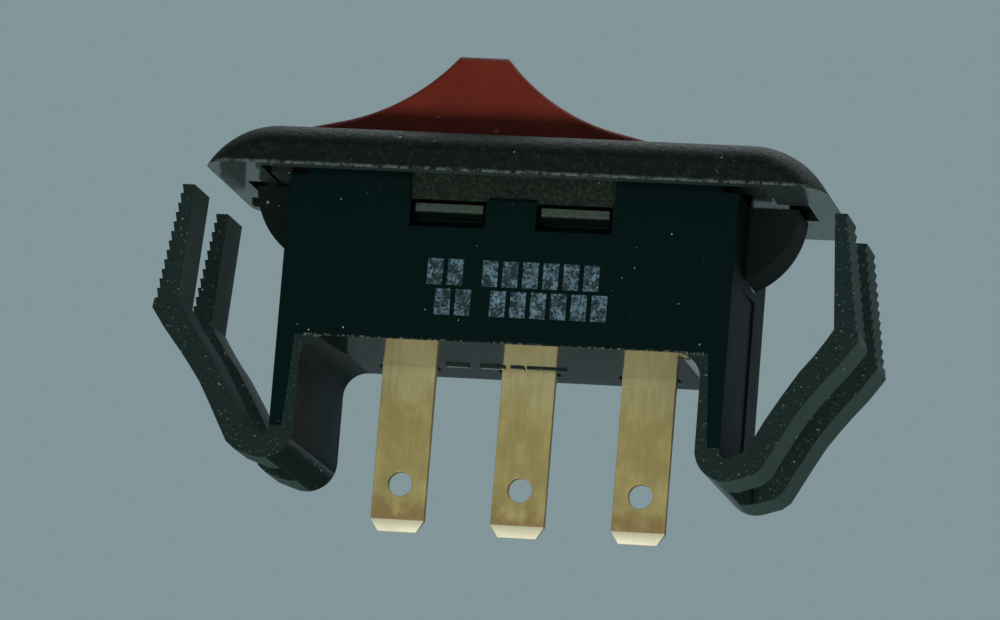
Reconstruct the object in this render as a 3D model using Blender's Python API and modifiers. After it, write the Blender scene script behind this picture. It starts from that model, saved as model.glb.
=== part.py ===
"""Snap-in rocker switch with four spring legs and three flat tabs.

Frame: the origin is the centre of the panel plane, under the flange. +X runs along the
flange, -Y is the front side, and +Z points out of the panel. The sizes below are in
millimetres, and MM turns them into metres.
"""
import math

import bmesh
import bpy
from mathutils import Matrix, Vector

MM = 0.001
MERGE = 0.00002

# Flange (bezel): a long plate with domed edges that sits on the panel.
FLANGE_LENGTH = 32.0
FLANGE_WIDTH = 14.2
FLANGE_HEIGHT = 2.3
FLANGE_END_DOME = 3.9
FLANGE_SIDE_DOME = 1.5
FLANGE_SIDE_DROP = 1.7
FLANGE_CORNER = 1.1
RECESS_HALF_X = 13.0
RECESS_HALF_Y = 6.3
RECESS_DEPTH = 0.7
NOTCH_PLAY = 0.25

# Housing: an open-topped box whose end walls run down into the spring legs.
HOUSING_HALF_X = 11.55
HOUSING_HALF_Y = 5.6
HOUSING_TOP = -0.2
HOUSING_BOTTOM = -8.47
CAVITY_HALF_X = 10.6
CAVITY_HALF_Y = 4.7
FLOOR_TOP = -7.37
UPRIGHT_INNER_X = 10.28
UPRIGHT_FILLET = 1.3
BEND_X = 11.85
BEND_Z = -13.3
BEND_END_X = 12.1
BEND_INNER_RADIUS = 0.38
EAR_CENTRE_X = 9.96
EAR_RADIUS = 4.4
EAR_TOP = -0.17
EAR_ROOT_X = 11.3
EAR_HALF_Y = 1.75

# Latch windows in both long walls, and the hooks of the bezel that show in them.
WINDOW_X = (1.3, 5.2)
WINDOW_Z = (-2.62, -1.15)
HOOK_X = (1.5, 5.0)
HOOK_REACH = 5.3
RELIEF_HALF_X = 5.3
RELIEF_DEPTH = 0.35

# Rocker: a ridge with hollow flanks, on two trunnions below the ridge.
PIVOT_X = -2.4
PIVOT_Z = -0.5
ROCKER_HALF_Y = 3.8
ROCKER_REACH = 9.6
RIDGE_HALF = 1.25
RIDGE_Z = 6.65
FLANK_RADIUS = 10.9
FLANK_START = math.radians(-50)
FLANK_END = math.radians(-12)
CHEEK = 0.9
HUB_RADIUS = 2.2
TRUNNION_RADIUS = 0.8
TRUNNION_REACH = 4.4
TRUNNION_PLAY = 0.15
OPENING_REACH = 10.05
OPENING_HALF_Y = 4.0
STEM_RADIUS = 1.6
STEM_BOTTOM = -2.2
BORE_RADIUS = 1.05
BORE_TOP = 2.0
RAIL_OUTER_Y = 4.5
RAIL_HALF_X = 9.5
RAIL_BOTTOM = -3.0

# Plunger and its spring, inside the stem of the rocker.
PLUNGER_RADIUS = 0.85
PLUNGER_TIP = -4.55
PLUNGER_SHOULDER = -1.6
SPIGOT_RADIUS = 0.42
SPIGOT_TOP = -0.5
COIL_RADIUS = 0.75
WIRE_RADIUS = 0.13
COIL_BOTTOM = -1.35
COIL_TOP = 1.75
COIL_TURNS = 6
COIL_STEPS = 10

# Contact blade, contacts, and the brass terminals with their tabs.
BLADE_AXIS_Z = -5.1
BLADE_BOTTOM = -5.05
BLADE_THICKNESS = 0.4
BLADE_REACH = 5.6
BLADE_HALF_Y = 1.1
NOTCH_HALF = 0.5
NOTCH_DEPTH = 0.12
CONTACT_REACH = 4.6
MOVING_CONTACT_Z = (-5.5, -5.15)
FIXED_CONTACT_Z = (-6.5, -6.2)
MOVING_CONTACT_RADIUS = 0.9
FIXED_CONTACT_RADIUS = 1.0
CONTACT_DOME = 0.1
FULCRUM_TOP = -5.16
FULCRUM_HALF = 0.45
FOOT_Z = (-7.1, -6.6)
FOOT_HALF_Y = 1.0
TAB_PITCH = 6.3
TAB_WIDTH = 2.8
TAB_Y = (2.8, 3.3)
SHANK_Y = (2.75, 3.35)
SHANK_BOTTOM = -8.9
TAB_TIP_Z = -17.1
TAB_TIP_WIDTH = 1.8
TAB_TAPER = 0.74
TAB_HOLE_RADIUS = 0.635
TAB_HOLE_Z = -14.6
SLOT_PLAY = 0.2

# Spring arms: two at each end, front and back, with a toothed top that grips the panel.
ARM_Y = (2.2, 5.6)
ARM_HINGE_X = 12.25
ARM_HINGE_Z = -14.3
ARM_OUTER = ((12.45, -14.82), (13.27, -14.49), (13.71, -14.13), (14.84, -12.05),
             (15.98, -10.28), (17.39, -8.52), (18.14, -7.45))
ARM_INNER = ((16.85, -6.9), (15.91, -8.33), (14.44, -10.44), (13.66, -11.75),
             (12.88, -13.27), (12.45, -13.56))
ARM_TIP_Z = -1.0
ARM_TIP_X = (16.48, 17.13)
TEETH = 13
TOOTH_DEPTH = 0.17

PLASTIC = (0.012, 0.013, 0.014)


def clear_scene():
    for item in list(bpy.data.objects):
        bpy.data.objects.remove(item, do_unlink=True)


def new_collection(name):
    collection = bpy.data.collections.new(name)
    bpy.context.scene.collection.children.link(collection)
    return collection


def new_material(name, colour, roughness, metallic=0.0):
    material = bpy.data.materials.new(name)
    material.use_nodes = True
    shader = material.node_tree.nodes["Principled BSDF"]
    shader.inputs["Base Color"].default_value = (*colour, 1.0)
    shader.inputs["Roughness"].default_value = roughness
    shader.inputs["Metallic"].default_value = metallic
    return material


def add_object(name, mesh, collection, material=None):
    item = bpy.data.objects.new(name, mesh)
    collection.objects.link(item)
    if material is None:
        item.display_type = "WIRE"
        item.hide_render = True
    else:
        mesh.materials.append(material)
    return item


def set_origin(item, x, y, z):
    """Move the object's origin to a point, in millimetres, and leave its shape where it is."""
    point = Vector((x, y, z)) * MM
    item.data.transform(Matrix.Translation(-point))
    item.location = point


def box(name, x, y, z, collection, material=None):
    """A box between two values, in millimetres, on each axis."""
    spans = (x, y, z)
    middle = Vector([(low + high) / 2 for low, high in spans]) * MM
    size = Vector([high - low for low, high in spans]) * MM
    shape = bmesh.new()
    bmesh.ops.create_cube(shape, size=1.0, matrix=Matrix.Translation(middle) @ Matrix.Diagonal((*size, 1.0)))
    mesh = bpy.data.meshes.new(name)
    shape.to_mesh(mesh)
    shape.free()
    return add_object(name, mesh, collection, material)


def cylinder(name, start, end, radius, collection, segments=24):
    """A round bar between two points, in millimetres."""
    start = Vector(start) * MM
    end = Vector(end) * MM
    along = end - start
    place = Matrix.Translation((start + end) / 2) @ along.to_track_quat("Z", "Y").to_matrix().to_4x4()
    shape = bmesh.new()
    bmesh.ops.create_cone(shape, cap_ends=True, segments=segments, radius1=radius * MM,
                          radius2=radius * MM, depth=along.length, matrix=place)
    mesh = bpy.data.meshes.new(name)
    shape.to_mesh(mesh)
    shape.free()
    return add_object(name, mesh, collection)


def prism(name, points, span, facing, collection, material=None):
    """A flat outline made solid. facing is the axis that it is thickened along: X, Y or Z."""
    curve = bpy.data.curves.new(name, "CURVE")
    curve.dimensions = "2D"
    curve.fill_mode = "BOTH"
    curve.extrude = (span[1] - span[0]) / 2 * MM
    spline = curve.splines.new("POLY")
    spline.points.add(len(points) - 1)
    for point, (u, v) in zip(spline.points, points):
        point.co = (u * MM, v * MM, 0.0, 1.0)
    spline.use_cyclic_u = True
    guide = bpy.data.objects.new(name + "_outline", curve)
    collection.objects.link(guide)
    middle = (span[0] + span[1]) / 2 * MM
    if facing == "X":
        guide.matrix_world = Matrix(((0, 0, 1, middle), (1, 0, 0, 0), (0, 1, 0, 0), (0, 0, 0, 1)))
    elif facing == "Y":
        guide.matrix_world = Matrix(((1, 0, 0, 0), (0, 0, -1, middle), (0, 1, 0, 0), (0, 0, 0, 1)))
    else:
        guide.matrix_world = Matrix.Translation((0, 0, middle))
    place = guide.matrix_world.copy()
    bpy.context.view_layer.update()
    evaluated = guide.evaluated_get(bpy.context.evaluated_depsgraph_get())
    mesh = bpy.data.meshes.new_from_object(evaluated)
    bpy.data.objects.remove(guide, do_unlink=True)
    shape = bmesh.new()
    shape.from_mesh(mesh)
    bmesh.ops.remove_doubles(shape, verts=shape.verts, dist=MERGE)
    bmesh.ops.transform(shape, matrix=place, verts=shape.verts)
    bmesh.ops.recalc_face_normals(shape, faces=shape.faces)
    shape.to_mesh(mesh)
    shape.free()
    mesh.materials.clear()
    return add_object(name, mesh, collection, material)


def turned(name, profile, x, y, collection, material):
    """A turned piece from (radius, height) points listed top to bottom."""
    shape = bmesh.new()
    points = [shape.verts.new((radius * MM, 0, height * MM)) for radius, height in profile]
    for upper, lower in zip(points, points[1:]):
        shape.edges.new((upper, lower))
    mesh = bpy.data.meshes.new(name)
    shape.to_mesh(mesh)
    shape.free()
    item = add_object(name, mesh, collection, material)
    item.location = (x * MM, y * MM, 0)
    screw = item.modifiers.new("turn", "SCREW")
    screw.steps = 20
    screw.render_steps = 20
    screw.use_merge_vertices = True
    screw.merge_threshold = MERGE
    screw.use_smooth_shade = True
    return item


def combine(target, tool, operation):
    """Cut the tool out of the target, join it on, or keep what they share."""
    boolean = target.modifiers.new(tool.name, "BOOLEAN")
    boolean.operation = operation
    boolean.solver = "EXACT"
    boolean.object = tool


def arc(centre, radius, start, end, count):
    """Points on a circle from one angle to another, in degrees."""
    points = []
    for step in range(count + 1):
        angle = math.radians(start + (end - start) * step / count)
        points.append((centre[0] + radius * math.cos(angle), centre[1] + radius * math.sin(angle)))
    return points


def mirrored(half):
    """Close an outline whose right half is listed from the bottom to the top."""
    return half + [(-u, v) for u, v in reversed(half)]


def ellipse_edge(edge, rise, run, count=8):
    """A quarter ellipse from (edge, low) up to (edge - run, top)."""
    low, top = rise
    points = []
    for step in range(count + 1):
        angle = math.pi / 2 * step / count
        points.append((edge - run + run * math.cos(angle), low + (top - low) * math.sin(angle)))
    return points


def make_bezel(parts, tools, material):
    end_profile = mirrored(ellipse_edge(FLANGE_LENGTH / 2, (0, FLANGE_HEIGHT), FLANGE_END_DOME))
    bezel = prism("bezel", end_profile, (-FLANGE_WIDTH, FLANGE_WIDTH), "Y", parts, material)
    side_low = FLANGE_HEIGHT - FLANGE_SIDE_DROP
    side = [(FLANGE_WIDTH / 2, -1.0)]
    side += ellipse_edge(FLANGE_WIDTH / 2, (side_low, FLANGE_HEIGHT), FLANGE_SIDE_DOME, 6)
    side_tool = prism("bezel_side", mirrored(side), (-FLANGE_LENGTH, FLANGE_LENGTH), "X", tools)
    combine(bezel, side_tool, "INTERSECT")
    corner_x = FLANGE_LENGTH / 2 - FLANGE_CORNER
    corner_y = FLANGE_WIDTH / 2 - FLANGE_CORNER
    plan = arc((corner_x, -corner_y), FLANGE_CORNER, -90, 0, 5)
    plan += arc((corner_x, corner_y), FLANGE_CORNER, 0, 90, 5)
    combine(bezel, prism("bezel_plan", mirrored(plan), (-5, 5), "Z", tools), "INTERSECT")
    recess = box("bezel_recess", (-RECESS_HALF_X, RECESS_HALF_X), (-RECESS_HALF_Y, RECESS_HALF_Y),
                 (-1, RECESS_DEPTH), tools)
    combine(bezel, recess, "DIFFERENCE")
    notch_x = EAR_CENTRE_X + EAR_RADIUS + NOTCH_PLAY
    notch_y = EAR_HALF_Y + NOTCH_PLAY
    notch = box("bezel_ear_notch", (-notch_x, notch_x), (-notch_y, notch_y), (-1, RECESS_DEPTH - 0.1), tools)
    combine(bezel, notch, "DIFFERENCE")
    rail_z = (RAIL_BOTTOM, FLANGE_HEIGHT - 0.8)
    for side_name, side in (("front", -1), ("back", 1)):
        rail_y = sorted((side * (OPENING_HALF_Y - 0.1), side * RAIL_OUTER_Y))
        rail = box("rail_" + side_name, (-RAIL_HALF_X, RAIL_HALF_X), rail_y, rail_z, tools)
        combine(bezel, rail, "UNION")
        for end_name, end in (("left", -1), ("right", 1)):
            combine(bezel, make_hook(f"hook_{side_name}_{end_name}", end, side, tools), "UNION")
    opening = box("bezel_opening", (PIVOT_X - OPENING_REACH, PIVOT_X + OPENING_REACH),
                  (-OPENING_HALF_Y, OPENING_HALF_Y), (-6, 6), tools)
    combine(bezel, opening, "DIFFERENCE")
    bearing = cylinder("bezel_bearing", (PIVOT_X, -RAIL_OUTER_Y - 0.1, PIVOT_Z),
                       (PIVOT_X, RAIL_OUTER_Y + 0.1, PIVOT_Z), TRUNNION_RADIUS + TRUNNION_PLAY, tools)
    combine(bezel, bearing, "DIFFERENCE")
    return bezel


def make_hook(name, end, side, tools):
    """A latch wedge: flat on top, where it catches the window, and sloping below."""
    top = WINDOW_Z[1] - 0.2
    outline = [(side * (RAIL_OUTER_Y - 0.1), top), (side * HOOK_REACH, top),
               (side * HOOK_REACH, top - 0.4), (side * (RAIL_OUTER_Y - 0.1), WINDOW_Z[0] + 0.2)]
    return prism(name, outline, sorted((end * HOOK_X[0], end * HOOK_X[1])), "X", tools)


def make_housing(parts, tools, material):
    fillet = (UPRIGHT_INNER_X - UPRIGHT_FILLET, HOUSING_BOTTOM - UPRIGHT_FILLET)
    bend_radius = BEND_X - UPRIGHT_INNER_X
    inner_x = HOUSING_HALF_X + BEND_INNER_RADIUS
    inner_z = BEND_Z - 0.04
    half = arc(fillet, UPRIGHT_FILLET, 90, 0, 6)
    half += arc((BEND_X, BEND_Z), bend_radius, 180, 270, 8)
    half += [(BEND_END_X, BEND_Z - bend_radius), (BEND_END_X, inner_z - BEND_INNER_RADIUS)]
    half += arc((inner_x, inner_z), BEND_INNER_RADIUS, 270, 180, 4)
    half += [(HOUSING_HALF_X, HOUSING_TOP)]
    wall_y = (-HOUSING_HALF_Y, HOUSING_HALF_Y)
    housing = prism("housing", mirrored(half), wall_y, "Y", parts, material)
    for end_name, end in (("left", -1), ("right", 1)):
        ear = make_ear("ear_" + end_name, end, tools)
        combine(housing, ear, "UNION")
    cavity = box("housing_cavity", (-CAVITY_HALF_X, CAVITY_HALF_X), (-CAVITY_HALF_Y, CAVITY_HALF_Y),
                 (FLOOR_TOP, 5), tools)
    combine(housing, cavity, "DIFFERENCE")
    for end_name, end in (("left", -1), ("right", 1)):
        window = box("window_" + end_name, sorted((end * WINDOW_X[0], end * WINDOW_X[1])),
                     (-HOUSING_HALF_Y - 1, HOUSING_HALF_Y + 1), WINDOW_Z, tools)
        combine(housing, window, "DIFFERENCE")
    for side_name, side in (("front", -1), ("back", 1)):
        face = sorted((side * (HOUSING_HALF_Y - RELIEF_DEPTH), side * (HOUSING_HALF_Y + 1)))
        relief = box("relief_" + side_name, (-RELIEF_HALF_X, RELIEF_HALF_X), face,
                     (WINDOW_Z[1], 2), tools)
        combine(housing, relief, "DIFFERENCE")
    for place, centre in (("left", -TAB_PITCH), ("middle", 0.0), ("right", TAB_PITCH)):
        half_slot = TAB_WIDTH / 2 + SLOT_PLAY
        slot = box("slot_" + place, (centre - half_slot, centre + half_slot),
                   (SHANK_Y[0] - SLOT_PLAY, SHANK_Y[1] + SLOT_PLAY), (-10, -6), tools)
        combine(housing, slot, "DIFFERENCE")
    return housing


def make_ear(name, end, tools):
    """A quarter disc that centres the housing in the panel cut-out."""
    lowest = math.degrees(math.acos((EAR_ROOT_X - EAR_CENTRE_X) / EAR_RADIUS))
    outline = [(EAR_ROOT_X, EAR_TOP)]
    outline += arc((EAR_CENTRE_X, 0), EAR_RADIUS, -2.2, -lowest, 10)
    outline = [(end * u, v) for u, v in outline]
    return prism(name, outline, (-EAR_HALF_Y, EAR_HALF_Y), "Y", tools)


def flank(inset, count, start=FLANK_START, end=FLANK_END):
    """The hollow side of the ridge, moved inwards by inset, from the ridge outwards."""
    points = []
    for step in range(count + 1):
        slope = start + (end - start) * step / count
        u = RIDGE_HALF + FLANK_RADIUS * (math.sin(slope) - math.sin(FLANK_START))
        v = RIDGE_Z + FLANK_RADIUS * (math.cos(FLANK_START) - math.cos(slope))
        points.append((u + inset * math.sin(slope), v - inset * math.cos(slope)))
    return points


def about_pivot(half):
    """A closed outline from its right half, centred on the rocker's pivot."""
    return [(u + PIVOT_X, v) for u, v in mirrored(half)]


def make_rocker(parts, tools, material):
    outer = flank(0, 9)
    wing_x, wing_z = outer[-1]
    end_z = wing_z + (ROCKER_REACH - wing_x) * math.tan(FLANK_END)
    half = arc((0, PIVOT_Z), HUB_RADIUS, -84, -12, 6)
    half += [(7.0, 1.2), (ROCKER_REACH - 0.15, end_z - 0.65), (ROCKER_REACH, end_z)]
    half += list(reversed(outer))
    rocker = prism("rocker", about_pivot(half), (-ROCKER_HALF_Y, ROCKER_HALF_Y), "Y", parts, material)
    inner = [(6.3, -6)] + list(reversed(flank(CHEEK, 6, math.radians(-42), math.radians(-18))))
    inner_y = (-ROCKER_HALF_Y + CHEEK, ROCKER_HALF_Y - CHEEK)
    hollow = prism("rocker_hollow", about_pivot(inner), inner_y, "Y", tools)
    combine(rocker, hollow, "DIFFERENCE")
    roof = RIDGE_Z - CHEEK
    stem = cylinder("rocker_stem", (PIVOT_X, 0, STEM_BOTTOM), (PIVOT_X, 0, roof), STEM_RADIUS, tools)
    combine(rocker, stem, "UNION")
    bore = cylinder("rocker_bore", (PIVOT_X, 0, STEM_BOTTOM - 1), (PIVOT_X, 0, BORE_TOP), BORE_RADIUS, tools)
    combine(rocker, bore, "DIFFERENCE")
    for side_name, side in (("front", -1), ("back", 1)):
        trunnion = cylinder("trunnion_" + side_name, (PIVOT_X, side * (ROCKER_HALF_Y - 0.4), PIVOT_Z),
                            (PIVOT_X, side * TRUNNION_REACH, PIVOT_Z), TRUNNION_RADIUS, tools)
        combine(rocker, trunnion, "UNION")
    set_origin(rocker, PIVOT_X, 0, PIVOT_Z)
    return rocker


def make_plunger(parts, material):
    tip_z = PLUNGER_TIP + PLUNGER_RADIUS
    profile = [(0, SPIGOT_TOP), (SPIGOT_RADIUS, SPIGOT_TOP), (SPIGOT_RADIUS, PLUNGER_SHOULDER)]
    profile += [(PLUNGER_RADIUS, PLUNGER_SHOULDER)]
    profile += arc((0, tip_z), PLUNGER_RADIUS, 0, -90, 6)
    profile[-1] = (0, PLUNGER_TIP)
    return turned("plunger", profile, PIVOT_X, 0, parts, material)


def make_spring(parts, material):
    curve = bpy.data.curves.new("plunger_spring", "CURVE")
    curve.dimensions = "3D"
    curve.bevel_depth = WIRE_RADIUS * MM
    curve.bevel_resolution = 1
    curve.use_fill_caps = True
    spline = curve.splines.new("POLY")
    steps = COIL_TURNS * COIL_STEPS
    spline.points.add(steps)
    for step, point in enumerate(spline.points):
        angle = 2 * math.pi * step / COIL_STEPS
        height = COIL_BOTTOM + (COIL_TOP - COIL_BOTTOM) * step / steps
        point.co = (COIL_RADIUS * math.cos(angle) * MM, COIL_RADIUS * math.sin(angle) * MM,
                    height * MM, 1.0)
    curve.materials.append(material)
    spring = bpy.data.objects.new("plunger_spring", curve)
    parts.objects.link(spring)
    spring.location = (PIVOT_X * MM, 0, 0)
    return spring


def make_blade(parts, material):
    top = BLADE_BOTTOM + BLADE_THICKNESS
    half = [(NOTCH_HALF, BLADE_BOTTOM), (BLADE_REACH, BLADE_BOTTOM), (BLADE_REACH, top)]
    outline = about_pivot(half) + [(PIVOT_X, BLADE_BOTTOM + NOTCH_DEPTH)]
    blade = prism("contact_blade", outline, (-BLADE_HALF_Y, BLADE_HALF_Y), "Y", parts, material)
    set_origin(blade, PIVOT_X, 0, BLADE_AXIS_Z)
    return blade


def make_contacts(parts, material):
    """Silver buttons: a moving one under each end of the blade and a fixed one below it."""
    for place, end in (("left", -1), ("right", 1)):
        x = PIVOT_X + end * CONTACT_REACH
        low, high = MOVING_CONTACT_Z
        face = MOVING_CONTACT_RADIUS - 0.3
        profile = [(0, high), (MOVING_CONTACT_RADIUS, high), (MOVING_CONTACT_RADIUS, low + CONTACT_DOME)]
        profile += [(face, low), (0, low)]
        moving = turned("moving_contact_" + place, profile, x, 0, parts, material)
        moving.data.transform(Matrix.Translation(Vector((0, 0, -BLADE_AXIS_Z)) * MM))
        moving.location.z = BLADE_AXIS_Z * MM
        low, high = FIXED_CONTACT_Z
        face = FIXED_CONTACT_RADIUS - 0.3
        profile = [(0, high), (face, high), (FIXED_CONTACT_RADIUS, high - CONTACT_DOME)]
        profile += [(FIXED_CONTACT_RADIUS, low), (0, low)]
        turned("fixed_contact_" + place, profile, x, 0, parts, material)


def make_terminal(name, centre, foot_x, parts, tools, material):
    """A tab on a thicker shank, and a foot that runs under its contact or fulcrum."""
    half = TAB_WIDTH / 2
    tip = TAB_TIP_WIDTH / 2
    outline = [(centre - tip, TAB_TIP_Z), (centre + tip, TAB_TIP_Z)]
    outline += [(centre + half, TAB_TIP_Z + TAB_TAPER), (centre + half, SHANK_BOTTOM + 0.1)]
    outline += [(centre - half, SHANK_BOTTOM + 0.1), (centre - half, TAB_TIP_Z + TAB_TAPER)]
    terminal = prism(name, outline, TAB_Y, "Y", parts, material)
    shank = box(name + "_shank", (centre - half, centre + half), SHANK_Y, (SHANK_BOTTOM, FOOT_Z[1]), tools)
    combine(terminal, shank, "UNION")
    hole = cylinder(name + "_hole", (centre, TAB_Y[0] - 1, TAB_HOLE_Z), (centre, TAB_Y[1] + 1, TAB_HOLE_Z),
                    TAB_HOLE_RADIUS, tools)
    combine(terminal, hole, "DIFFERENCE")
    root_x = sorted((centre - half if foot_x < centre else centre + half, centre))
    root = box(name + "_root", root_x, (-FOOT_HALF_Y, TAB_Y[1] - 0.1), FOOT_Z, tools)
    combine(terminal, root, "UNION")
    foot = box(name + "_foot", sorted((foot_x, centre)), (-FOOT_HALF_Y, FOOT_HALF_Y), FOOT_Z, tools)
    combine(terminal, foot, "UNION")
    return terminal


def make_terminals(parts, tools, material):
    left = PIVOT_X - CONTACT_REACH - FIXED_CONTACT_RADIUS
    right = PIVOT_X + CONTACT_REACH - FIXED_CONTACT_RADIUS
    common_x = PIVOT_X - FULCRUM_HALF - 0.2
    make_terminal("terminal_left", -TAB_PITCH, left, parts, tools, material)
    make_terminal("terminal_right", TAB_PITCH, right, parts, tools, material)
    common = make_terminal("terminal_common", 0.0, common_x, parts, tools, material)
    ridge = [(PIVOT_X - FULCRUM_HALF, FOOT_Z[0] + 0.1), (PIVOT_X + FULCRUM_HALF, FOOT_Z[0] + 0.1)]
    ridge += arc((PIVOT_X, FULCRUM_TOP - 0.2), 0.2, 10, 170, 4)
    fulcrum = prism("fulcrum", ridge, (-FOOT_HALF_Y + 0.1, FOOT_HALF_Y - 0.1), "Y", tools)
    combine(common, fulcrum, "UNION")


def make_arm(name, end, span, parts, material):
    """One spring arm, from the bend at its foot to its toothed top."""
    low_x, low_z = ARM_OUTER[-1]
    outline = list(ARM_OUTER)
    for tooth in range(TEETH):
        share = (tooth + 1) / TEETH
        x = low_x + (ARM_TIP_X[1] - low_x) * share
        z = low_z + (ARM_TIP_Z - low_z) * share
        outline += [(x, z), (x - TOOTH_DEPTH, z)]
    outline.append((ARM_TIP_X[0], ARM_TIP_Z))
    outline += list(ARM_INNER)
    outline = [(end * u, v) for u, v in outline]
    arm = prism(name, outline, span, "Y", parts, material)
    set_origin(arm, end * ARM_HINGE_X, (span[0] + span[1]) / 2, ARM_HINGE_Z)
    return arm


def make_arms(parts, material):
    for end_name, end in (("left", -1), ("right", 1)):
        for side_name, side in (("front", -1), ("back", 1)):
            span = sorted((side * ARM_Y[0], side * ARM_Y[1]))
            make_arm(f"spring_arm_{end_name}_{side_name}", end, span, parts, material)


def build():
    clear_scene()
    parts = new_collection("rocker_switch")
    tools = new_collection("cutters")
    bezel_black = new_material("bezel_black", PLASTIC, 0.55)
    housing_black = new_material("housing_black", (0.008, 0.018, 0.022), 0.22)
    rocker_red = new_material("rocker_red", (0.22, 0.016, 0.008), 0.4)
    plunger_white = new_material("plunger_white", (0.6, 0.58, 0.52), 0.45)
    spring_steel = new_material("spring_steel", (0.5, 0.5, 0.5), 0.3, 1.0)
    copper = new_material("blade_copper", (0.55, 0.3, 0.17), 0.35, 1.0)
    silver = new_material("contact_silver", (0.72, 0.71, 0.68), 0.28, 1.0)
    brass = new_material("terminal_brass", (0.42, 0.3, 0.11), 0.35, 1.0)
    make_bezel(parts, tools, bezel_black)
    make_housing(parts, tools, housing_black)
    make_rocker(parts, tools, rocker_red)
    make_plunger(parts, plunger_white)
    make_spring(parts, spring_steel)
    make_blade(parts, copper)
    make_contacts(parts, silver)
    make_terminals(parts, tools, brass)
    make_arms(parts, housing_black)


build()
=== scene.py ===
import math

import bpy
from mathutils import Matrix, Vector


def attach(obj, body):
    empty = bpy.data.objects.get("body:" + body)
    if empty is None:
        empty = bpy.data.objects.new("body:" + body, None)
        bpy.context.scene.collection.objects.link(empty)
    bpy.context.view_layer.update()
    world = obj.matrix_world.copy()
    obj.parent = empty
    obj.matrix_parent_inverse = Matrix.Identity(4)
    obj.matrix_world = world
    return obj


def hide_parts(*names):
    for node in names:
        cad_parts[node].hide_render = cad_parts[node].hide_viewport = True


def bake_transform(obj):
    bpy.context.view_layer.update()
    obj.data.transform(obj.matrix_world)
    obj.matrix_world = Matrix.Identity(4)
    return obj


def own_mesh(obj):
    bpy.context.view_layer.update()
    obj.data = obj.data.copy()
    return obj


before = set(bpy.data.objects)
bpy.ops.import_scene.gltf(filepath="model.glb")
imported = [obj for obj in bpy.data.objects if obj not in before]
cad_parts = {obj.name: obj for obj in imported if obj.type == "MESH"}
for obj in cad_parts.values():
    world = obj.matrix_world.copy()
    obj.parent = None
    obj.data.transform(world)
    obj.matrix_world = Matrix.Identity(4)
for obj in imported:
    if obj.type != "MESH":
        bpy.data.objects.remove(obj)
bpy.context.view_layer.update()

# ---------------------------------------------------------------------------------------
# View, light and floor
# The switch is seen from the front, a little from its right and from below, so that the
# latch windows, the underside and the tabs all show. The floor lies well below it.
# ---------------------------------------------------------------------------------------
scene = bpy.context.scene
scene.view_settings.view_transform = "Standard"

camera_data = bpy.data.cameras.new("camera")
camera_data.sensor_width = 36.0
camera_data.lens = 239.75
camera = bpy.data.objects.new("camera", camera_data)
camera.location = (0.0631, -0.33025, -0.0638)
camera.rotation_euler = [math.radians(angle) for angle in (99.82, -4.6, 10.23)]
scene.collection.objects.link(camera)
scene.camera = camera


def add_softbox(name, place, aim, size, power, colour):
    """A rectangular studio light that faces a point."""
    light = bpy.data.lights.new(name, "AREA")
    light.shape = "RECTANGLE"
    light.size, light.size_y = size
    light.energy = power
    light.color = colour
    lamp = bpy.data.objects.new(name, light)
    lamp.location = place
    lamp.rotation_euler = (Vector(aim) - Vector(place)).to_track_quat("-Z", "Y").to_euler()
    scene.collection.objects.link(lamp)


add_softbox("key_light", (0.03, -0.26, -0.17), (0, 0, -0.004), (0.4, 0.06), 1.0, (1.0, 0.98, 0.93))
add_softbox("low_light", (-0.02, -0.1, -0.22), (0, 0, -0.004), (0.3, 0.1), 0.2, (0.97, 1.0, 0.98))
add_softbox("top_light", (0.05, 0.12, 0.3), (0, 0, 0), (0.4, 0.3), 1.2, (0.9, 0.97, 1.0))

world = bpy.data.worlds.new("studio")
world.use_nodes = True
world.node_tree.nodes["Background"].inputs["Color"].default_value = (0.225, 0.302, 0.322, 1.0)
scene.world = world

bpy.ops.mesh.primitive_plane_add(size=6.0, location=(0, 0, -0.4))
floor = bpy.context.object
floor.name = "studio_floor"
floor_paint = bpy.data.materials.new("floor_paint")
floor_paint.use_nodes = True
floor_shader = floor_paint.node_tree.nodes["Principled BSDF"]
floor_shader.inputs["Base Color"].default_value = (0.8, 0.82, 0.82, 1.0)
floor_shader.inputs["Roughness"].default_value = 0.8
floor.data.materials.append(floor_paint)

# A dark card behind and below keeps the glossy underside dark. The camera doesn't see it.
bpy.ops.mesh.primitive_plane_add(size=1.0, location=(0, 0.1, -0.1178), rotation=(math.pi / 2, 0, 0))
flag = bpy.context.object
flag.name = "studio_flag"
flag.scale = (0.5, 0.19, 1.0)
flag.visible_camera = False
flag_paint = bpy.data.materials.new("flag_paint")
flag_paint.use_nodes = True
flag_shader = flag_paint.node_tree.nodes["Principled BSDF"]
flag_shader.inputs["Base Color"].default_value = (0.02, 0.03, 0.028, 1.0)
flag_shader.inputs["Roughness"].default_value = 0.9
flag.data.materials.append(flag_paint)

# ---------------------------------------------------------------------------------------
# Housing and spring legs
# One black moulding: an open-topped box whose end walls run down into U-bends and come
# back up as toothed spring arms. It is modelled whole, then parted where the legs flex.
# ---------------------------------------------------------------------------------------
MM = 0.001
beyond = 20                 # further out than any part of the switch
half_depth = 5.6
wall_x = 11.55
wall_top = 0.3
end_wall_top = -0.2
upright_x = 10.28
floor_z = -8.47
leg_top_z = -9.77
leg_fillet = 1.3
bend = (11.85, -13.3)
bend_inside = 0.38
arm_gap_x = 12.3
arm_gap_y = 2.2
arm_outer = ((13.27, -14.49), (13.71, -14.13), (14.84, -12.05), (15.35, -11.16),
             (15.98, -10.28), (16.51, -9.59), (17.39, -8.52), (18.14, -7.45))
arm_inner = ((16.85, -6.9), (16.54, -7.41), (15.91, -8.33), (15.25, -9.17), (14.44, -10.44),
             (13.66, -11.75), (12.88, -13.27))
arm_top = ((17.13, -1.0), (16.48, -1.0))
teeth = 13
tooth_depth = 0.17
tooth_rise = 0.03
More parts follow.
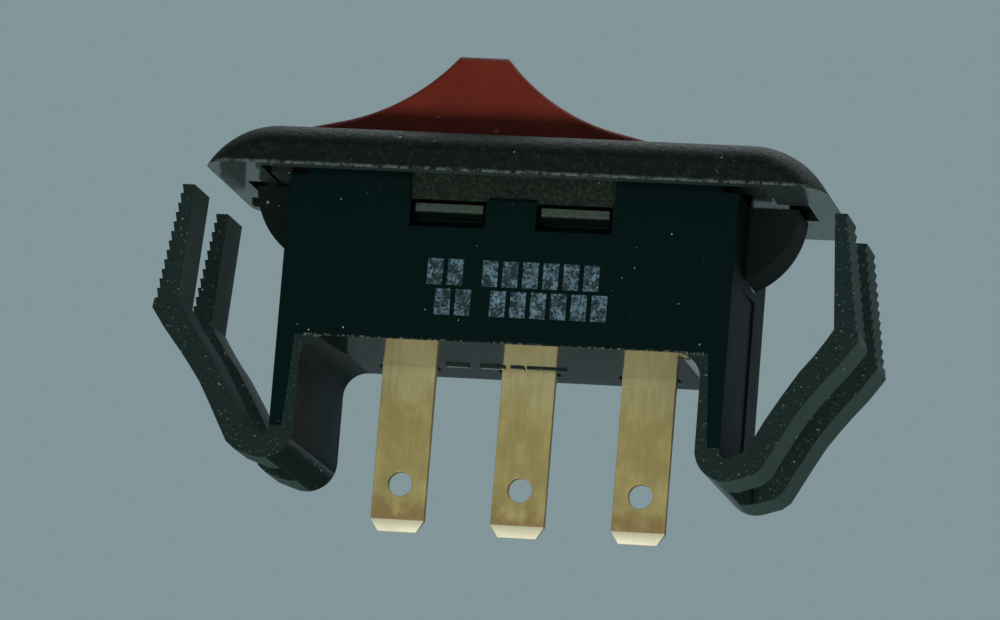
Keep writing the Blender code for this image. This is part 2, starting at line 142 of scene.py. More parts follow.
groove_depth = 0.12
groove_z = (-13.2, -4.4)
ear_centre_x = 9.8
ear_radius = 4.3
ear_half_y = 1.75
cavity_x = 10.6
cavity_y = 4.7
cavity_floor_z = -7.37
window_x = (1.3, 5.2)
window_z = (-2.62, -1.15)
relief_half_x = 5.3
relief_y = 5.25
tab_pitch = 6.3
slot_half_x = 1.6
slot_y = (2.55, 3.55)


def deselect():
    if bpy.context.object and bpy.context.object.mode != "OBJECT":
        bpy.ops.object.mode_set(mode="OBJECT")
    bpy.ops.object.select_all(action="DESELECT")


def select_only(piece):
    deselect()
    piece.select_set(True)
    bpy.context.view_layer.objects.active = piece


def arc(centre, radius, start, end, count):
    """Points on a circle from one angle to another, in degrees."""
    angles = [math.radians(start + (end - start) * step / count) for step in range(count + 1)]
    return [(centre[0] + radius * math.cos(a), centre[1] + radius * math.sin(a)) for a in angles]


def mirrored(half):
    """Closes an outline whose right half is listed from the bottom to the top."""
    return half + [(-u, v) for u, v in reversed(half)]


def outlined(name, outline, low, high):
    """A flat outline of (x, z) points in millimetres, made solid from y low to y high."""
    deselect()
    bpy.ops.mesh.primitive_circle_add(vertices=len(outline), radius=0.01, fill_type="NGON")
    piece = bpy.context.object
    piece.name = name
    for vertex, (x, z) in zip(piece.data.vertices, outline):
        vertex.co = (x * MM, low * MM, z * MM)
    bpy.ops.object.mode_set(mode="EDIT")
    bpy.ops.mesh.select_all(action="SELECT")
    bpy.ops.mesh.extrude_region_move(TRANSFORM_OT_translate={"value": (0, (high - low) * MM, 0)})
    bpy.ops.mesh.select_all(action="SELECT")
    bpy.ops.mesh.normals_make_consistent(inside=False)
    bpy.ops.object.mode_set(mode="OBJECT")
    return piece


def block(name, x, y, z):
    """A box between two values, in millimetres, on each axis."""
    deselect()
    place = [(low + high) / 2 * MM for low, high in (x, y, z)]
    size = [(high - low) * MM for low, high in (x, y, z)]
    bpy.ops.mesh.primitive_cube_add(size=1.0, location=place, scale=size)
    piece = bpy.context.object
    piece.name = name
    bpy.ops.object.transform_apply(location=True, rotation=True, scale=True)
    return piece


def apply_modifier(piece, kind, **settings):
    select_only(piece)
    modifier = piece.modifiers.new(kind.lower(), kind)
    for key, value in settings.items():
        setattr(modifier, key, value)
    bpy.ops.object.modifier_apply(modifier=modifier.name)


def combine(piece, tool, operation):
    """Cuts the tool out of the piece, or joins it on, and throws the tool away."""
    apply_modifier(piece, "BOOLEAN", operation=operation, solver="EXACT", object=tool)
    bpy.data.objects.remove(tool, do_unlink=True)


def soften(piece, width, segments=3, angle=28):
    """Rounds every edge that turns more than the angle, as a mould does."""
    apply_modifier(piece, "BEVEL", width=width * MM, segments=segments, limit_method="ANGLE",
                   angle_limit=math.radians(angle), use_clamp_overlap=True, harden_normals=False)


def copy_piece(piece, name):
    copied = piece.copy()
    copied.data = piece.data.copy()
    copied.name = name
    scene.collection.objects.link(copied)
    return copied


def smooth(piece, angle=35):
    """Smooth shading that leaves the flat faces flat and the sharp edges sharp."""
    select_only(piece)
    bpy.ops.object.shade_smooth_by_angle(angle=math.radians(angle))
    apply_modifier(piece, "WEIGHTED_NORMAL", mode="FACE_AREA", weight=90, keep_sharp=True)


def dress(piece, material):
    """Smooths a piece and gives it its one material."""
    smooth(piece)
    piece.data.materials.clear()
    piece.data.materials.append(material)


def new_group(name, inputs, outputs):
    """A shader node group with named inputs (name, value) and outputs (name, kind)."""
    group = bpy.data.node_groups.new(name, "ShaderNodeTree")
    for socket, value in inputs:
        made = group.interface.new_socket(socket, in_out="INPUT", socket_type="NodeSocketFloat")
        made.default_value = value
    for socket, kind in outputs:
        group.interface.new_socket(socket, in_out="OUTPUT", socket_type=kind)
    return group, group.nodes.new("NodeGroupInput"), group.nodes.new("NodeGroupOutput")


def feed(tree, value, socket):
    """Links a node's output to a socket, or sets a plain value on it."""
    if isinstance(value, bpy.types.NodeSocket):
        tree.links.new(value, socket)
    else:
        socket.default_value = value


def math_node(tree, operation, first, second=0.5, clamp=False):
    """A Math node fed by sockets or plain numbers; gives its output."""
    node = tree.nodes.new("ShaderNodeMath")
    node.operation = operation
    node.use_clamp = clamp
    feed(tree, first, node.inputs[0])
    feed(tree, second, node.inputs[1])
    return node.outputs[0]


def unsigned(tree, value):
    """The value without its sign."""
    return math_node(tree, "ABSOLUTE", value)


def over(tree, value, limit):
    return math_node(tree, "GREATER_THAN", value, limit)


def under(tree, value, limit):
    return math_node(tree, "LESS_THAN", value, limit)


def times(tree, first, *others):
    """Multiplies masks or numbers: where all the masks meet."""
    for other in others:
        first = math_node(tree, "MULTIPLY", first, other)
    return first


def either(tree, first, *others):
    """The greatest of the masks: where any of them is."""
    for other in others:
        first = math_node(tree, "MAXIMUM", first, other)
    return first


def split(tree, vector):
    """The outputs X, Y and Z of a vector."""
    node = tree.nodes.new("ShaderNodeSeparateXYZ")
    tree.links.new(vector, node.inputs[0])
    return node.outputs


def noise(tree, vector, scale, detail=3.0, roughness=0.55):
    node = tree.nodes.new("ShaderNodeTexNoise")
    node.inputs["Detail"].default_value = detail
    node.inputs["Roughness"].default_value = roughness
    tree.links.new(vector, node.inputs["Vector"])
    feed(tree, scale, node.inputs["Scale"])
    return node.outputs["Fac"]


def ramp(tree, value, low, high):
    """0 below low and 1 above high, turning smoothly between them."""
    node = tree.nodes.new("ShaderNodeMapRange")
    node.interpolation_type = "SMOOTHSTEP"
    node.inputs["From Min"].default_value = low
    node.inputs["From Max"].default_value = high
    tree.links.new(value, node.inputs["Value"])
    return node.outputs["Result"]


def blend_colour(tree, factor, first, second):
    """Mixes two colours, each a socket or three numbers."""
    node = tree.nodes.new("ShaderNodeMix")
    node.data_type = "RGBA"
    tree.links.new(factor, node.inputs[0])
    for socket, value in zip(node.inputs[6:8], (first, second)):
        if isinstance(value, bpy.types.NodeSocket):
            tree.links.new(value, socket)
        else:
            socket.default_value = (*value, 1.0)
    return node.outputs[2]


def add_bump(tree, height, strength, distance):
    """Relief from a height; distance is in metres. Gives the normal."""
    bump = tree.nodes.new("ShaderNodeBump")
    bump.inputs["Distance"].default_value = distance
    feed(tree, strength, bump.inputs["Strength"])
    tree.links.new(height, bump.inputs["Height"])
    return bump.outputs["Normal"]


# Dust: small pale specks of mixed sizes, thinned out by a slow noise.
dust_group, group_in, group_out = new_group("dust_specks", (("Scale", 900.0), ("Amount", 0.5)),
                                            (("Mask", "NodeSocketFloat"),))
coords = dust_group.nodes.new("ShaderNodeTexCoord").outputs["Object"]
cells = dust_group.nodes.new("ShaderNodeTexVoronoi")
dust_group.links.new(coords, cells.inputs["Vector"])
dust_group.links.new(group_in.outputs["Scale"], cells.inputs["Scale"])
cell_value = dust_group.nodes.new("ShaderNodeSeparateColor")
dust_group.links.new(cells.outputs["Color"], cell_value.inputs["Color"])
speck_size = times(dust_group, math_node(dust_group, "POWER", cell_value.outputs["Green"], 3.0), 0.12)
speck_size = math_node(dust_group, "ADD", speck_size, 0.07)
near = math_node(dust_group, "SUBTRACT", speck_size, cells.outputs["Distance"])
near = math_node(dust_group, "MULTIPLY", near, 30.0, True)
chosen = under(dust_group, cell_value.outputs["Red"], group_in.outputs["Amount"])
patchy = ramp(dust_group, noise(dust_group, coords, 260.0), 0.35, 0.7)
dust_group.links.new(times(dust_group, near, chosen, patchy), group_out.inputs["Mask"])

# Spark grain: the fine pebbled finish that an eroded mould leaves.
grain_group, group_in, group_out = new_group(
    "spark_grain", (("Scale", 4500.0), ("Strength", 0.4)),
    (("Height", "NodeSocketFloat"), ("Normal", "NodeSocketVector")))
coords = grain_group.nodes.new("ShaderNodeTexCoord").outputs["Object"]
pebbles = noise(grain_group, coords, group_in.outputs["Scale"], 4.0, 0.65)
grain_group.links.new(pebbles, group_out.inputs["Height"])
pebbled = add_bump(grain_group, pebbles, group_in.outputs["Strength"], 0.12 * MM)
grain_group.links.new(pebbled, group_out.inputs["Normal"])


def new_material(name, roughness, metallic=0.0):
    """A material, its node tree, its Principled shader and its object coordinates."""
    material = bpy.data.materials.new(name)
    material.use_nodes = True
    tree = material.node_tree
    shader = tree.nodes["Principled BSDF"]
    shader.inputs["Roughness"].default_value = roughness
    shader.inputs["Metallic"].default_value = metallic
    coords = tree.nodes.new("ShaderNodeTexCoord")
    return material, tree, shader, coords


def add_group(tree, group, **values):
    node = tree.nodes.new("ShaderNodeGroup")
    node.node_tree = group
    for key, value in values.items():
        node.inputs[key].default_value = value
    return node


# Housing plastic: glossy on the walls and under the floor, grained on the front and back
# edges of the legs, and satin on the rest.
wall_black = (0.0004, 0.0048, 0.0044)
edge_grey = (0.0055, 0.0135, 0.0115)
arm_side_painted_light = (0.03, 0.05, 0.045)
salt_grey = (0.15, 0.18, 0.15)
ear_black = (0.0016, 0.0055, 0.004)
relief_dark = (0.004, 0.008, 0.0055)
relief_light = (0.015, 0.022, 0.0155)
rim_dust_and_highlight = (0.1, 0.11, 0.085)
dust_grey = (0.3, 0.34, 0.3)

housing_black, tree, shader, coords = new_material("housing_black", 0.16)
shader.inputs["Specular IOR Level"].default_value = 0.09
shader.inputs["Coat Roughness"].default_value = 0.06
shader.inputs["Coat IOR"].default_value = 1.8
axes = split(tree, coords.outputs["Object"])
facing = split(tree, coords.outputs["Normal"])
side_x = unsigned(tree, axes["X"])
depth = unsigned(tree, axes["Y"])
grain = add_group(tree, grain_group, Scale=5200.0, Strength=0.9)
dust = add_group(tree, dust_group, Scale=1700.0, Amount=0.35)
salt = add_group(tree, dust_group, Scale=6500.0, Amount=0.8)

beyond_wall = over(tree, side_x, (wall_x + 0.05) * MM)
inside_upright = under(tree, side_x, (upright_x + 0.1) * MM)
on_leg = under(tree, axes["Z"], floor_z * MM)
below_bend = under(tree, axes["Z"], (bend[1] + 0.1) * MM)
edge_on = over(tree, unsigned(tree, facing["Y"]), 0.8)
# The grained strip on the front of an upright widens downwards.
strip_line = math_node(tree, "ADD", times(tree, axes["Z"], -0.06), (wall_x - 1.45) * MM)
inner_strip = under(tree, side_x, strip_line)
leg_zone = times(tree, on_leg, either(tree, beyond_wall, inner_strip, below_bend))
grained = times(tree, either(tree, leg_zone, beyond_wall), edge_on)
arm_side = math_node(tree, "SUBTRACT", beyond_wall, grained, True)
on_ear = times(tree, beyond_wall, under(tree, depth, (ear_half_y + 0.25) * MM))
relief_zone = times(tree, under(tree, side_x, (relief_half_x + 0.02) * MM),
                    over(tree, axes["Z"], (window_z[1] - 0.03) * MM),
                    under(tree, depth, (relief_y + 0.05) * MM),
                    over(tree, depth, (relief_y - 0.15) * MM))
inner_side = math_node(tree, "SUBTRACT", times(tree, on_leg, inside_upright), edge_on, True)
end_face = times(tree, over(tree, unsigned(tree, facing["X"]), 0.9),
                 math_node(tree, "SUBTRACT", 1.0, beyond_wall), over(tree, side_x, (wall_x - 0.2) * MM))
# A thin pale line is painted along the bottom of the front and back walls: partly dust, partly a painted
# highlight.
from_floor = unsigned(tree, math_node(tree, "SUBTRACT", axes["Z"], floor_z * MM))
floor_rim = times(tree, ramp(tree, from_floor, 0.12 * MM, 0.03 * MM), inside_upright,
                  ramp(tree, depth, (half_depth - 0.2) * MM, (half_depth - 0.08) * MM),
                  ramp(tree, grain.outputs["Height"], 0.46, 0.66))
pepper = either(tree, ramp(tree, grain.outputs["Height"], 0.6, 0.76), salt.outputs["Mask"])

tone = blend_colour(tree, grained, wall_black, edge_grey)
# The sides of the arms are painted a paler grey than the black plastic: painted light.
tone = blend_colour(tree, arm_side, tone, arm_side_painted_light)
tone = blend_colour(tree, times(tree, pepper, grained), tone, salt_grey)
tone = blend_colour(tree, on_ear, tone, ear_black)
relief_grain = ramp(tree, grain.outputs["Height"], 0.4, 0.7)
relief_tone = blend_colour(tree, relief_grain, relief_dark, relief_light)
tone = blend_colour(tree, relief_zone, tone, relief_tone)
tone = blend_colour(tree, floor_rim, tone, rim_dust_and_highlight)
tone = blend_colour(tree, dust.outputs["Mask"], tone, dust_grey)
tree.links.new(tone, shader.inputs["Base Color"])

smear = ramp(tree, noise(tree, coords.outputs["Object"], 420.0, 4.0), 0.3, 0.8)
satin = either(tree, grained, beyond_wall, relief_zone, inner_side, end_face)
gloss = math_node(tree, "ADD", times(tree, smear, 0.05), 0.2)
gloss = math_node(tree, "ADD", gloss, times(tree, satin, 0.34))
gloss = math_node(tree, "ADD", gloss, times(tree, dust.outputs["Mask"], 0.3), True)
tree.links.new(gloss, shader.inputs["Roughness"])

# A mirror-like coat lies under the floor and fades out down the fillets.
below = times(tree, ramp(tree, facing["Z"], -0.45, -0.98),
              ramp(tree, axes["Z"], (floor_z - 1.1) * MM, (floor_z - 0.1) * MM))
polish = math_node(tree, "SUBTRACT", below, beyond_wall, True)
tree.links.new(polish, shader.inputs["Coat Weight"])
pebbled = add_bump(tree, grain.outputs["Height"], grained, 0.06 * MM)
tree.links.new(pebbled, shader.inputs["Normal"])

half = arc((upright_x - leg_fillet, leg_top_z), leg_fillet, 90, 0, 10)
half += arc(bend, bend[0] - upright_x, 180, 290, 18)
half += list(arm_outer)
tooth_x, tooth_z = arm_outer[-1]
for tooth in range(1, teeth + 1):
    share = tooth / teeth
    step_x = tooth_x + (arm_top[0][0] - tooth_x) * share
    step_z = tooth_z + (arm_top[0][1] - tooth_z) * share
    half += [(step_x, step_z), (step_x - tooth_depth, step_z + tooth_rise)]
half[-1] = arm_top[1]
half += list(arm_inner)
half += arc((wall_x + bend_inside, bend[1] - 0.04), bend_inside, 330, 180, 12)
half += [(wall_x, wall_top)]
moulding = outlined("moulding", mirrored(half), -half_depth, half_depth)
for side in (-1, 1):
    gap = block("arm_gap", sorted((side * arm_gap_x, side * beyond)), (-arm_gap_y, arm_gap_y),
                (-beyond, 2))
    combine(moulding, gap, "DIFFERENCE")
    groove = block("wall_groove", sorted((side * (wall_x - groove_depth), side * 12.0)),
                   (-arm_gap_y, arm_gap_y), groove_z)
    combine(moulding, groove, "DIFFERENCE")
    ear = [(side * 11.3, -0.17)]
    ear += [(side * u, v) for u, v in arc((ear_centre_x, 0), ear_radius, -2.3, -69, 24)]
    combine(moulding, outlined("ear", ear, -ear_half_y, ear_half_y), "UNION")
# A small nub of plastic stands on the left ear.
nub = block("nub", (-14.34, -13.8), (-ear_half_y, -1.0), (-1.15, -0.8))
combine(moulding, nub, "UNION")
cavity = block("cavity", (-cavity_x, cavity_x), (-cavity_y, cavity_y), (cavity_floor_z, 2))
combine(moulding, cavity, "DIFFERENCE")
for side in (-1, 1):
    end_wall = block("end_wall", sorted((side * cavity_x, side * 11.6)), (-6, 6), (end_wall_top, 2))
    combine(moulding, end_wall, "DIFFERENCE")
for side in (-1, 1):
    window = block("window", sorted(side * x for x in window_x), (-6, 6), window_z)
    combine(moulding, window, "DIFFERENCE")
    relief = block("relief", (-relief_half_x, relief_half_x), sorted((side * relief_y, side * 6.5)),
                   (window_z[1], 2))
    combine(moulding, relief, "DIFFERENCE")
for centre in (-tab_pitch, 0.0, tab_pitch):
    slot = block("slot", (centre - slot_half_x, centre + slot_half_x), slot_y, (-10, -6))
    combine(moulding, slot, "DIFFERENCE")
soften(moulding, 0.07, 2)
dress(moulding, housing_black)


def leg_space(end, face):
    """The space that one leg takes: the moulding below the cut, and the arm outside the ear."""
    space = block("leg_space", sorted((0, end * beyond)), sorted((0, face * 7)), (-beyond, leg_top_z))
    arm_space = block("arm_space", sorted((end * 11.8, end * beyond)), sorted((face * 2.0, face * 7)),
                      (leg_top_z - 1, 2))
    combine(space, arm_space, "UNION")
    return space


# Each leg is parted off the moulding together with its half of the arm, and the rest stays as the housing
# box.
housing = copy_piece(moulding, "housing_box")
for end_name, end in (("left", -1), ("right", 1)):
    for face_name, face in (("front", -1), ("back", 1)):
        leg = copy_piece(moulding, f"spring_leg_{end_name}_{face_name}")
        combine(leg, leg_space(end, face), "INTERSECT")
        combine(housing, leg_space(end, face), "DIFFERENCE")
        smooth(leg)
        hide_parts(f"spring_arm_{end_name}_{face_name}")
        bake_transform(leg)
smooth(housing)
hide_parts("housing")
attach(housing, "base")
bpy.data.objects.remove(moulding, do_unlink=True)

# ---------------------------------------------------------------------------------------
# Terminals
# Three blades of half-hard brass sheet, blanked with a hole and coined to a chamfer at the
# tip. Each is pressed up through a slot in the floor, and its foot carries a contact.
# ---------------------------------------------------------------------------------------
merge_gap = 0.000001        # metres; points closer than this count as one
tab_half = 1.4
tab_y = (2.8, 3.3)
tab_tip_z = -17.1
tab_tip_half = 1.0
tab_taper = 0.6
coin_share = 0.3            # what is left of the thickness at the tip
tab_hole_z = -14.6
tab_hole_radius = 0.635
shank_proud = 0.05
shank_z = -8.9
foot_y = 1.0
foot_z = (-7.1, -6.6)
pivot = (-2.4, -0.5)

brass_dull = (0.3, 0.25, 0.095)
brass_clean = (0.39, 0.33, 0.135)
brass_root = (0.38, 0.35, 0.19)
brass_heated = (0.23, 0.145, 0.06)
brass_scratch = (0.26, 0.22, 0.1)
coined_brass_and_highlight = (0.52, 0.49, 0.36)

brass, tree, shader, coords = new_material("terminal_brass", 0.34, 0.8)
axes = split(tree, coords.outputs["Object"])
stretch = tree.nodes.new("ShaderNodeMapping")
stretch.inputs["Scale"].default_value = (1.0, 1.0, 0.12)
tree.links.new(coords.outputs["Object"], stretch.inputs["Vector"])
brushing = noise(tree, stretch.outputs["Vector"], 5200.0, 3.0)
blotch = noise(tree, coords.outputs["Object"], 650.0, 4.0, 0.6)
# The root is bright and the blade is heat-stained above the coined tip.
wander = times(tree, math_node(tree, "SUBTRACT", blotch, 0.5), 3.4 * MM)
height = math_node(tree, "ADD", axes["Z"], wander)
root_zone = ramp(tree, height, -11.2 * MM, -8.7 * MM)
tip_zone = times(tree, ramp(tree, height, -15.2 * MM, -16.3 * MM),
                 ramp(tree, height, -17.2 * MM, -16.7 * MM))
# The coined tip is painted pale: partly bare coined metal, partly a painted highlight.
coin_z = (tab_tip_z + tab_taper) * MM
coined = ramp(tree, axes["Z"], coin_z + 0.05 * MM, coin_z)
scratched = ramp(tree, brushing, 0.62, 0.4)
tone = blend_colour(tree, ramp(tree, blotch, 0.35, 0.68), brass_dull, brass_clean)
tone = blend_colour(tree, times(tree, root_zone, 0.8), tone, brass_root)
tone = blend_colour(tree, times(tree, tip_zone, 0.85), tone, brass_heated)
tone = blend_colour(tree, times(tree, scratched, 0.35), tone, brass_scratch)
tone = blend_colour(tree, coined, tone, coined_brass_and_highlight)
tree.links.new(tone, shader.inputs["Base Color"])
brass_gloss = math_node(tree, "ADD", times(tree, blotch, 0.2), 0.48)
brass_gloss = math_node(tree, "ADD", brass_gloss, times(tree, brushing, 0.1))
tree.links.new(brass_gloss, shader.inputs["Roughness"])
tree.links.new(add_bump(tree, brushing, 0.35, 0.02 * MM), shader.inputs["Normal"])


def make_terminal(name, centre, foot_x):
    """A blade with a coined tip, its thicker shank, and the foot inside the housing."""
    outline = [(centre - tab_tip_half, tab_tip_z), (centre + tab_tip_half, tab_tip_z),
               (centre + tab_half, tab_tip_z + tab_taper), (centre + tab_half, shank_z + 0.1),
               (centre - tab_half, shank_z + 0.1), (centre - tab_half, tab_tip_z + tab_taper)]
    terminal = outlined(name, outline, *tab_y)
    bpy.ops.object.mode_set(mode="EDIT")
    bpy.ops.mesh.select_all(action="SELECT")
    coin_line = (0, 0, (tab_tip_z + tab_taper) * MM)
    bpy.ops.mesh.bisect(plane_co=coin_line, plane_no=(0, 0, 1), threshold=merge_gap)
    bpy.ops.object.mode_set(mode="OBJECT")
    middle_y = sum(tab_y) / 2 * MM
    for vertex in terminal.data.vertices:
        if vertex.co.z < (tab_tip_z + 0.1) * MM:
            vertex.co.y = middle_y + (vertex.co.y - middle_y) * coin_share
    deselect()
    bpy.ops.mesh.primitive_cylinder_add(vertices=64, radius=tab_hole_radius * MM, depth=0.01,
                                        location=(centre * MM, middle_y, tab_hole_z * MM),
                                        rotation=(math.pi / 2, 0, 0))
    combine(terminal, bpy.context.object, "DIFFERENCE")
    soften(terminal, 0.045, 2, 40)
    shank_y = (tab_y[0] - shank_proud, tab_y[1] + shank_proud)
    shank = block("shank", (centre - tab_half, centre + tab_half), shank_y, (shank_z, foot_z[1]))
    combine(terminal, shank, "UNION")
    root_x = sorted((centre - tab_half if foot_x < centre else centre + tab_half, centre))
    combine(terminal, block("root", root_x, (-foot_y, tab_y[1] - 0.1), foot_z), "UNION")
    combine(terminal, block("foot", sorted((foot_x, centre)), (-foot_y, foot_y), foot_z), "UNION")
    return terminal


def finish(piece, material, slot, body, *nodes):
    """Gives a piece its material, the nodes it stands for and the body it rides on. The slot is not used.
    """
    dress(piece, material)
    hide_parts(*nodes)
    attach(piece, body)


fulcrum = [(pivot[0] - 0.45, foot_z[0] + 0.1), (pivot[0] + 0.45, foot_z[0] + 0.1)]
fulcrum += arc((pivot[0], -5.36), 0.2, 10, 170, 12)
common = make_terminal("terminal_blade_common", 0.0, pivot[0] - 0.65)
combine(common, outlined("fulcrum", fulcrum, -0.9, 0.9), "UNION")
finish(common, brass, "terminal_brass", "base", "terminal_common")
left_terminal = make_terminal("terminal_blade_left", -tab_pitch, pivot[0] - 5.6)
finish(left_terminal, brass, "terminal_brass", "base", "terminal_left")
right_terminal = make_terminal("terminal_blade_right", tab_pitch, pivot[0] + 3.6)
finish(right_terminal, brass, "terminal_brass", "base", "terminal_right")

# ---------------------------------------------------------------------------------------
# Contacts and blade
# Silver buttons are riveted to the feet and to the ends of a copper blade, which rocks on
# the common terminal's fulcrum under the plunger.
# ---------------------------------------------------------------------------------------


def metal_material(name, bright, dull, roughness, scale):
    """A worked metal with a slow tarnish and a fine grain."""
    material, tree, shader, coords = new_material(name, roughness, 1.0)
    tarnish = ramp(tree, noise(tree, coords.outputs["Object"], scale, 4.0), 0.4, 0.7)
    tree.links.new(blend_colour(tree, tarnish, bright, dull), shader.inputs["Base Color"])
    gloss = math_node(tree, "ADD", times(tree, tarnish, 0.2), roughness - 0.05)
    tree.links.new(gloss, shader.inputs["Roughness"])
    fine_grain = noise(tree, coords.outputs["Object"], scale * 8, 2.0)
    tree.links.new(add_bump(tree, fine_grain, 0.3, 0.02 * MM), shader.inputs["Normal"])
    return material


def give(node, material):
    """Puts a material on a node that keeps its own mesh."""
    carried = bpy.data.objects[node]
    if carried.material_slots:
        carried.material_slots[0].material = material
    else:
        carried.data.materials.append(material)


silver = metal_material("contact_silver", (0.74, 0.73, 0.7), (0.42, 0.4, 0.35), 0.28, 900.0)
copper = metal_material("blade_copper", (0.66, 0.34, 0.2), (0.38, 0.18, 0.1), 0.34, 500.0)
for node in ("fixed_contact_left", "fixed_contact_right", "moving_contact_left", "moving_contact_right"):
    give(node, silver)
give("contact_blade", copper)

# ---------------------------------------------------------------------------------------
# Plunger and spring
# A white nylon peg is pushed towards the blade by a coil spring of thin steel wire. Both
# sit in the bore of the rocker's stem; the spring is made at one length and rides with the rocker.
# ---------------------------------------------------------------------------------------
nylon, tree, shader, coords = new_material("plunger_white", 0.42)
cloud = noise(tree, coords.outputs["Object"], 700.0, 3.0)
nylon_tone = blend_colour(tree, cloud, (0.66, 0.64, 0.56), (0.5, 0.47, 0.4))
tree.links.new(nylon_tone, shader.inputs["Base Color"])
scuffs = noise(tree, coords.outputs["Object"], 4000.0)
tree.links.new(add_bump(tree, scuffs, 0.2, 0.03 * MM), shader.inputs["Normal"])
give("plunger", nylon)

steel = metal_material("spring_steel", (0.55, 0.56, 0.57), (0.32, 0.32, 0.32), 0.3, 1500.0)
coil_radius = 0.75
wire_radius = 0.13
coil_z = (-1.35, 1.75)
coil_turns = 6
deselect()
bpy.ops.mesh.primitive_circle_add(vertices=12, radius=wire_radius * MM,
                                  location=(coil_radius * MM, 0, 0), rotation=(math.pi / 2, 0, 0))
spring = bpy.context.object
spring.name = "coil_spring"
bpy.ops.object.transform_apply(location=True, rotation=True, scale=True)
pitch = (coil_z[1] - coil_z[0]) / coil_turns
apply_modifier(spring, "SCREW", angle=2 * math.pi, screw_offset=pitch * MM, iterations=coil_turns,
               steps=28, render_steps=28, use_merge_vertices=False, use_smooth_shade=True)
bpy.ops.object.mode_set(mode="EDIT")
bpy.ops.mesh.select_all(action="SELECT")
bpy.ops.mesh.fill_holes(sides=16)
bpy.ops.mesh.select_all(action="SELECT")
bpy.ops.mesh.normals_make_consistent(inside=False)
bpy.ops.object.mode_set(mode="OBJECT")
spring.location = (pivot[0] * MM, 0, coil_z[0] * MM)
bpy.ops.object.transform_apply(location=True, rotation=True, scale=True)
spring.data.materials.append(steel)
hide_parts("plunger_spring")
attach(spring, "rocker")
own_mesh(spring)

# ---------------------------------------------------------------------------------------
# Rocker
# A dull red moulding with a narrow ridge and two hollow flanks, open underneath. It turns
# on two trunnions, and a bored stem under the ridge holds the spring and the plunger.
# ---------------------------------------------------------------------------------------
ridge_z = 6.65
ridge_half = 1.25
flank_radius = 10.9
flank_slopes = (-50, -12)   # degrees, beside the ridge and out at the wing
rocker_reach = 9.6
rocker_half_y = 3.8
cheek = 0.9
hollow_slopes = (-42, -18)
hub_radius = 2.2
stem_radius = 1.6
stem_z = -2.2
bore_radius = 1.05
bore_top_z = 2.0
trunnion_radius = 0.8
trunnion_y = 4.4

red_deep = (0.1, 0.0095, 0.0035)
red_bright = (0.125, 0.0135, 0.0055)
red_speckle = (0.16, 0.03, 0.016)
red_ridge_rim = (0.1, 0.05, 0.036)
red_dust = (0.38, 0.3, 0.26)

red, tree, shader, coords = new_material("rocker_red", 0.5)
shader.inputs["Specular IOR Level"].default_value = 0.14
grain = add_group(tree, grain_group, Scale=3400.0, Strength=0.35)
dust = add_group(tree, dust_group, Scale=1300.0, Amount=0.22)
axes = split(tree, coords.outputs["Object"])
cloud = ramp(tree, noise(tree, coords.outputs["Object"], 300.0, 4.0), 0.3, 0.7)
speckle = times(tree, ramp(tree, grain.outputs["Height"], 0.6, 0.78), 0.5)
# The rims along the top of the ridge are painted a lighter, greyer red.
ridge_rim_band = times(tree, ramp(tree, axes["Z"], (ridge_z - 0.28) * MM, (ridge_z - 0.02) * MM),
             ramp(tree, unsigned(tree, axes["Y"]), (rocker_half_y - 0.4) * MM, (rocker_half_y - 0.1) * MM))
tone = blend_colour(tree, cloud, red_deep, red_bright)
tone = blend_colour(tree, speckle, tone, red_speckle)
tone = blend_colour(tree, ridge_rim_band, tone, red_ridge_rim)
tone = blend_colour(tree, dust.outputs["Mask"], tone, red_dust)
tree.links.new(tone, shader.inputs["Base Color"])
red_gloss = math_node(tree, "ADD", times(tree, grain.outputs["Height"], 0.25), 0.5)
tree.links.new(red_gloss, shader.inputs["Roughness"])
tree.links.new(grain.outputs["Normal"], shader.inputs["Normal"])


def flank(inset, count, slopes):
    """The hollow side of the ridge, moved inwards by inset, from the ridge outwards."""
    ridge_slope = math.radians(flank_slopes[0])
    points = []
    for step in range(count + 1):
        slope = math.radians(slopes[0] + (slopes[1] - slopes[0]) * step / count)
        u = ridge_half + flank_radius * (math.sin(slope) - math.sin(ridge_slope))
        v = ridge_z + flank_radius * (math.cos(ridge_slope) - math.cos(slope))
        points.append((u + inset * math.sin(slope), v - inset * math.cos(slope)))
    return points


def about_pivot(half):
    """The outline's right half, mirrored and moved to the rocker's own centre line."""
    return [(u + pivot[0], v) for u, v in mirrored(half)]


def round_bar(name, start, end, radius, vertices=64):
    """A round bar along Y or Z between two points, in millimetres."""
    deselect()
    along = Vector(end) - Vector(start)
    middle = (Vector(start) + Vector(end)) / 2 * MM
    turn = along.to_track_quat("Z", "Y").to_euler()
    bpy.ops.mesh.primitive_cylinder_add(vertices=vertices, radius=radius * MM, depth=along.length * MM,
                                        location=middle, rotation=turn)
    bar = bpy.context.object
    bar.name = name
    bpy.ops.object.transform_apply(location=True, rotation=True, scale=True)
    return bar


def bevel_rims(piece, half_y, width, segments):
    """Rounds the two rims of an outline that was made solid from y -half_y to y half_y."""
    select_only(piece)
    bpy.context.tool_settings.mesh_select_mode = (False, True, False)
    bpy.ops.object.mode_set(mode="EDIT")
    bpy.ops.mesh.select_all(action="DESELECT")
    bpy.ops.object.mode_set(mode="OBJECT")
    points = piece.data.vertices
    for edge in piece.data.edges:
        first, second = (points[index].co.y for index in edge.vertices)
        level = abs(first - second) < merge_gap
        edge.select = level and abs(abs(first) - half_y * MM) < merge_gap
    bpy.ops.object.mode_set(mode="EDIT")
    bpy.ops.mesh.bevel(offset=width * MM, offset_type="OFFSET", segments=segments, profile=0.5,
                       affect="EDGES", clamp_overlap=False)
    bpy.ops.object.mode_set(mode="OBJECT")


